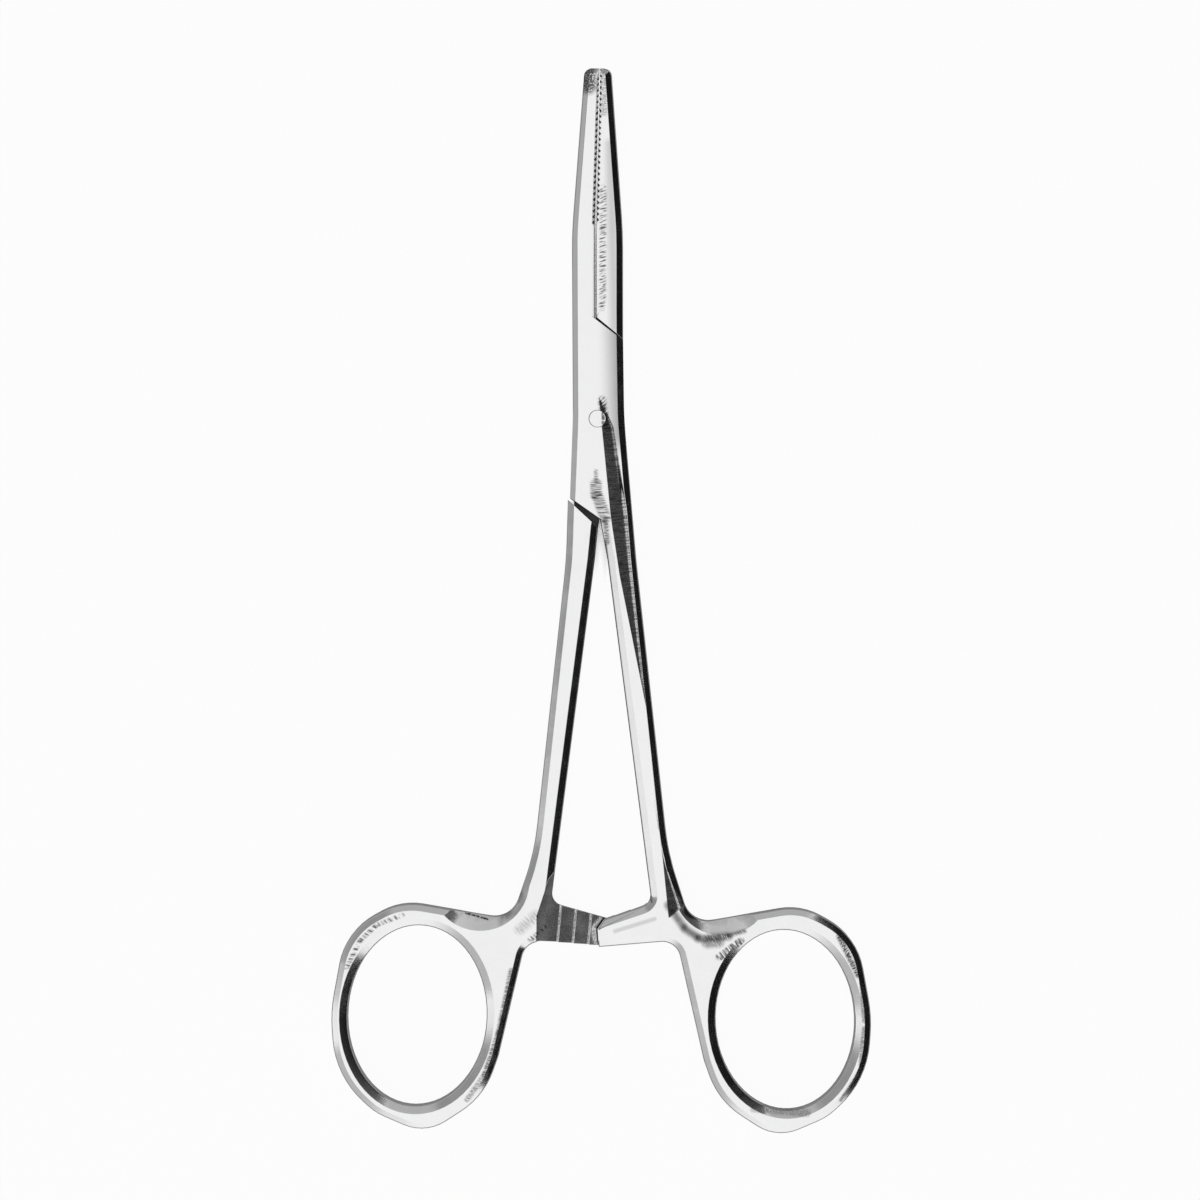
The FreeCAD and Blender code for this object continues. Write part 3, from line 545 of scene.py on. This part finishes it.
@dataclass
class Forging:
    """A steel piece that takes the place of its CAD node, with its edges eased as polishing leaves them.

    From half_box to lip_end the lengths are in millimetres, because they say where the lips are.
    The other lengths are in metres. Lip_left is the share of a lip's drop that is left.
    Wall_rise and bevel_rises tell a wall and an outer bevel by the upward part of their normals.
    """

    frame: dict[str, Any]
    node: str = ""
    body: Body = Body.BOX_SIDE
    slot: Slot = Slot.STEEL
    finish: SteelFinish = SteelFinish("polished_steel")
    merge: float = 0.002 * MM
    coplanar: float = math.radians(0.5)
    ease: float = 0.05 * MM
    worn: float = 0.24 * MM
    worn_from: float = 16.0 * MM
    web_at: tuple[float, float] = (12.8 * MM, -66.3 * MM)
    web_reach: float = 4.0 * MM
    ease_steps: int = 3
    wall_rise: float = 0.1
    bevel_rises: tuple[float, float] = (0.8, 0.92)
    sharp_angle: float = math.radians(14)
    smooth_angle: float = math.radians(32)
    flat_weight: int = 80
    tip_from: float = 41.0 * MM
    half_box: float = 2.35
    jaw_root: float = 13.15
    root_slack: float = 0.2
    jaw_slope: float = 0.0364
    lip_reach: float = 0.95
    lip_drop: float = 0.42
    lip_end: float = 45.6
    lip_left: float = 0.15
    piece: bpy.types.Object | None = field(default=None, init=False)

    def copy_solid(self) -> bpy.types.Object:
        """Copies the CAD node's mesh, merges its triangles and joins the coplanar ones.

        Returns:
            The copy.
        """
        bpy.ops.object.select_all(action="DESELECT")
        solid = self.frame["nodes"][self.node]
        piece = bpy.data.objects.new(f"{self.node}_polished", solid.data.copy())
        bpy.context.scene.collection.objects.link(piece)
        piece.data.materials.clear()
        bpy.context.view_layer.objects.active = piece
        piece.select_set(True)
        bpy.ops.object.mode_set(mode="EDIT")
        bpy.ops.mesh.select_all(action="SELECT")
        bpy.ops.mesh.remove_doubles(threshold=self.merge)
        bpy.ops.mesh.dissolve_limited(angle_limit=self.coplanar)
        bpy.ops.mesh.select_all(action="DESELECT")
        bpy.ops.object.mode_set(mode="OBJECT")
        return piece

    def flatten_lips(self) -> None:
        """Lays the bevels along the mating edges of the jaws nearly flat, to just short of the tip."""
        for vertex in self.piece.data.vertices:
            x, y, z = (value / MM for value in vertex.co)
            if abs(x) > self.lip_reach or not self.jaw_root - self.root_slack < y < self.lip_end:
                continue
            half = self.half_box - self.jaw_slope * (y - self.jaw_root)
            side = 1.0 if z > self.half_box else -1.0
            drop = half - abs(z - self.half_box)
            if 0.0 < drop < self.lip_drop:
                vertex.co.z = (self.half_box + side * (half - self.lip_left * drop)) * MM

    def weigh_edges(self) -> None:
        """Marks which edges are rounded: the rim under a bevel the most, other sharp ones by a hair.

        The rim is rounded by a hair too within worn_from of the rivet, and at the concave corner
        between shank and ring, where more makes a notch. The mating edges of the tips stay sharp,
        because rounding makes spikes there.
        """
        mesh = self.piece.data
        low_rise, high_rise = self.bevel_rises
        faces_of: dict[int, list[int]] = {}
        for face in mesh.polygons:
            for loop in face.loop_indices:
                faces_of.setdefault(mesh.loops[loop].edge_index, []).append(face.index)
        weights = mesh.attributes.new("bevel_weight_edge", "FLOAT", "EDGE")
        for edge, faces in faces_of.items():
            if len(faces) != 2:
                continue
            normals = [mesh.polygons[face].normal for face in faces]
            corner = mesh.vertices[mesh.edges[edge].vertices[0]].co
            on_tip = corner.y > self.tip_from and abs(corner.x) < self.lip_reach * MM
            if on_tip or normals[0].angle(normals[1]) < self.sharp_angle:
                continue
            rises = sorted(abs(normal.z) for normal in normals)
            under_bevel = rises[0] < self.wall_rise and low_rise < rises[1] < high_rise
            web_x, web_y = self.web_at
            in_web = math.hypot(abs(corner.x) - web_x, corner.y - web_y) < self.web_reach
            worn = under_bevel and corner.length > self.worn_from and not in_web
            weights.data[edge].value = 1.0 if worn else self.ease / self.worn

    def ease_edges(self) -> None:
        """Rounds the sharp edges as polishing leaves them, and shades the rest smooth."""
        self.weigh_edges()
        rounding = self.piece.modifiers.new("eased_edges", "BEVEL")
        rounding.width = self.worn
        rounding.segments = self.ease_steps
        rounding.limit_method = "WEIGHT"
        rounding.use_clamp_overlap = False
        rounding.miter_outer = "MITER_ARC"
        bpy.ops.object.modifier_apply(modifier=rounding.name)
        bpy.ops.object.shade_smooth_by_angle(angle=self.smooth_angle)
        shading = self.piece.modifiers.new("flat_faces_first", "WEIGHTED_NORMAL")
        shading.keep_sharp = True
        shading.weight = self.flat_weight
        bpy.ops.object.modifier_apply(modifier=shading.name)

    def build(self) -> None:
        self.piece = self.copy_solid()
        self.flatten_lips()
        self.ease_edges()
        self.piece.data.materials.append(self.finish.material())
        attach(self.piece, self.body.value)
        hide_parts(self.node)
        LOG.info("%s: %d faces", self.piece.name, len(self.piece.data.polygons))


@dataclass
class BoxHalf(Forging):
    """Left jaw, box with two cheeks, right shank, right ring and upper ratchet arm."""

    node: str = "box_half"
    body: Body = Body.BOX_SIDE
    finish: SteelFinish = SteelFinish(
        "box_half_steel",
        # painted shade on the upper side, cut into grinding lines where a pitch is given
        marks=(
            # painted shade, darker towards the right edge of the box
            ShadeAndGrindMark((3.3, 13.0), (3.7, -2.0), half_width=0.0, soft=3.6, depth=0.6),
            ShadeAndGrindMark(
                (0.6, 2.4), (1.1, -1.0), half_width=0.2, soft=0.6, depth=0.9, pitch=0.28, cover=0.6,
                skew=0.5, streak=1.2,
            ),
            ShadeAndGrindMark(
                (1.2, -1.8), (9.0, -63.0), half_width=2.0, soft=0.3, depth=0.75, pitch=0.2, cover=0.5,
                slope=(0.25, 0.42),
            ),
            ShadeAndGrindMark((1.05, -16.0), (7.1, -63.4), half_width=0.02, soft=0.2, depth=0.7),
            ShadeAndGrindMark(
                (-0.2, -6.9), (-0.2, -8.3), half_width=0.05, soft=0.4, depth=0.7, pitch=0.08, cover=0.6,
                streak=0.7,
            ),
            ShadeAndGrindMark(
                (-0.2, -8.6), (-0.2, -9.9), half_width=0.5, soft=0.5, depth=0.75, pitch=0.08, cover=0.6,
                streak=0.7,
            ),
            ShadeAndGrindMark(
                (0.0, -10.2), (1.05, -13.0), half_width=0.5, soft=0.5, depth=0.8, pitch=0.08, cover=0.6,
                skew=-0.35, streak=0.7,
            ),
            ShadeAndGrindMark(
                (1.05, -13.2), (1.25, -16.2), half_width=0.12, soft=0.4, depth=0.8, pitch=0.08,
                cover=0.6, streak=0.7,
            ),
            ShadeAndGrindMark(
                # painted shade at the tip of the left jaw
                (-1.3, 46.4), (-1.2, 43.8), half_width=0.5, soft=1.1, depth=0.85, pitch=0.15, cover=0.9,
                streak=4.0,
            ),
            ShadeAndGrindMark(
                (9.3, -63.8), (11.2, -66.5), half_width=0.1, soft=0.8, depth=0.7, pitch=0.06, cover=1.2,
                skew=0.5, streak=2.0,
            ),
            ShadeAndGrindMark(
                (11.5, -66.9), (13.0, -67.9), half_width=0.1, soft=0.8, depth=0.75, pitch=0.06,
                cover=1.2, skew=0.5, streak=2.0,
            ),
            ShadeAndGrindMark(
                (13.3, -68.2), (17.2, -67.9), half_width=0.15, soft=0.7, depth=0.8, pitch=0.07,
                cover=0.9, skew=0.5, streak=1.5,
            ),
            ShadeAndGrindMark(
                (14.4, -68.7), (15.9, -68.6), half_width=0.3, soft=0.8, depth=0.65, pitch=0.07,
                cover=0.9, skew=0.5, streak=1.5,
            ),
            ShadeAndGrindMark(
                (17.2, -67.8), (19.3, -67.2), half_width=0.0, soft=0.5, depth=0.75, pitch=0.07,
                cover=0.9, skew=0.5, streak=1.5,
            ),
            ShadeAndGrindMark((16.0, -70.6), (18.8, -68.5), half_width=0.35, soft=0.3, depth=0.8, pitch=0.25, cover=0.6),
            ShadeAndGrindMark(
                (31.7, -67.9), (34.2, -73.0), half_width=0.1, soft=0.5, depth=0.9, pitch=0.12,
                cover=0.8, skew=0.3, streak=2.0,
            ),
            ShadeAndGrindMark(
                (34.6, -74.0), (35.0, -79.0), half_width=0.1, soft=0.3, depth=0.7, pitch=0.08,
                cover=0.8, skew=0.3, streak=3.0,
            ),
            ShadeAndGrindMark(
                (35.0, -79.9), (34.5, -84.6), half_width=0.1, soft=0.3, depth=0.7, pitch=0.08,
                cover=0.8, skew=0.3, streak=3.0,
            ),
            ShadeAndGrindMark(
                (34.3, -85.6), (31.9, -89.4), half_width=0.05, soft=0.3, depth=0.6, pitch=0.08,
                cover=0.8, skew=0.3, streak=3.0,
            ),
            ShadeAndGrindMark(
                (20.5, -90.5), (27.5, -91.1), half_width=0.3, soft=0.4, depth=0.45, pitch=0.08,
                cover=0.7, skew=0.3, streak=3.0,
            ),
            ShadeAndGrindMark((2.3, -67.2), (7.5, -65.6), half_width=0.08, soft=0.35, depth=0.25),
        ),
        # painted shade inside the box lock
        recesses=(ShadedRecess((-3.05, -14.6, 0.6), (3.1, 13.4, 4.1)),),
        seams=(Seam(),),
    )


@dataclass
class TenonHalf(Forging):
    """Right jaw, thin neck through the box, left shank, left ring and lower ratchet arm."""

    node: str = "tenon_half"
    body: Body = Body.TENON_SIDE
    finish: SteelFinish = SteelFinish(
        "tenon_half_steel",
        # painted shade on the upper side, cut into grinding lines where a pitch is given
        marks=(
            ShadeAndGrindMark(
                (0.75, 30.2), (0.65, 14.5), half_width=0.2, soft=0.45, depth=0.8, pitch=0.24, cover=0.4,
                skew=0.35, streak=0.9,
            ),
            ShadeAndGrindMark(
                (0.55, 46.0), (0.65, 40.5), half_width=0.4, soft=0.7, depth=0.5, pitch=0.15, cover=0.6,
                streak=4.0,
            ),
            # painted shade along the right jaw
            ShadeAndGrindMark((1.7, 36.0), (2.3, 12.0), half_width=0.0, soft=1.3, depth=0.3),
            ShadeAndGrindMark(
                (-7.4, -66.8), (1.2, -67.4), half_width=2.2, soft=0.3, depth=0.5, pitch=0.16, cover=0.5,
                streak=3.0, slope=(0.2, 0.34),
            ),
            ShadeAndGrindMark(
                (-8.8, -68.3), (-6.8, -66.8), half_width=0.15, soft=0.35, depth=0.85, pitch=0.22,
                cover=0.5, skew=0.2,
            ),
            ShadeAndGrindMark((-10.2, -67.0), (-8.2, -65.2), half_width=0.1, soft=1.0, depth=0.45, pitch=0.09, cover=0.6),
            ShadeAndGrindMark(
                (-9.0, -57.5), (-10.4, -62.3), half_width=0.2, soft=0.5, depth=0.55, pitch=0.06,
                cover=0.9, streak=3.0, slope=(-0.62, -0.3),
            ),
            ShadeAndGrindMark(
                (-10.4, -62.5), (-12.2, -65.1), half_width=0.3, soft=0.6, depth=0.55, pitch=0.06,
                cover=0.9, streak=3.0, slope=(-0.62, -0.2),
            ),
            ShadeAndGrindMark(
                (-17.3, -64.9), (-14.4, -65.7), half_width=0.05, soft=0.15, depth=0.95, pitch=0.3,
                cover=0.8, streak=2.0,
            ),
            ShadeAndGrindMark(
                (-11.3, -72.4), (-13.0, -80.6), half_width=0.15, soft=0.4, depth=0.75, pitch=0.1,
                cover=0.75, skew=0.3, streak=2.0,
            ),
            ShadeAndGrindMark(
                (-13.0, -80.6), (-14.8, -86.0), half_width=0.15, soft=0.4, depth=0.75, pitch=0.1,
                cover=0.75, skew=0.3, streak=2.0,
            ),
            ShadeAndGrindMark(
                (-14.8, -86.0), (-17.1, -89.3), half_width=0.15, soft=0.4, depth=0.6, pitch=0.1,
                cover=0.7, skew=0.3, streak=2.0,
            ),
            ShadeAndGrindMark(
                (-32.9, -72.0), (-31.2, -68.5), half_width=0.15, soft=0.3, depth=0.8, pitch=0.25,
                cover=0.5, skew=0.3,
            ),
            ShadeAndGrindMark(
                (-31.2, -68.5), (-29.0, -66.4), half_width=0.15, soft=0.3, depth=0.8, pitch=0.25,
                cover=0.5, skew=0.3,
            ),
            ShadeAndGrindMark(
                (-29.0, -66.4), (-25.6, -65.1), half_width=0.15, soft=0.3, depth=0.7, pitch=0.25,
                cover=0.5, skew=0.3,
            ),
        ),
        # painted shade on the neck inside the box lock
        recesses=(ShadedRecess((-3.05, -15.2, 0.6), (3.1, 13.6, 4.1)),),
    )


@dataclass
class Rivet(Forging):
    """The rivet, ground flush with both cheeks."""

    node: str = "pivot_pin"
    body: Body = Body.BOX_SIDE
    slot: Slot = Slot.RIVET_STEEL
    ease: float = 0.06 * MM
    finish: SteelFinish = SteelFinish(
        "rivet_steel",
        # painted shade on the right of the rivet's head, cut into grinding lines
        marks=(
            ShadeAndGrindMark((0.75, 0.7), (0.75, -0.6), half_width=0.12, soft=0.2, depth=0.8, pitch=0.4, cover=0.8),
        ),
        polish=0.15,
    )


def main() -> None:
    """Builds the studio and the three pieces."""
    logging.basicConfig(level=logging.INFO, format="%(name)s: %(message)s")
    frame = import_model()
    bpy.context.scene.view_settings.view_transform = "Standard"
    Studio().build()
    for kind in (BoxHalf, TenonHalf, Rivet):
        kind(frame).build()


if __name__ == "__main__":
    main()
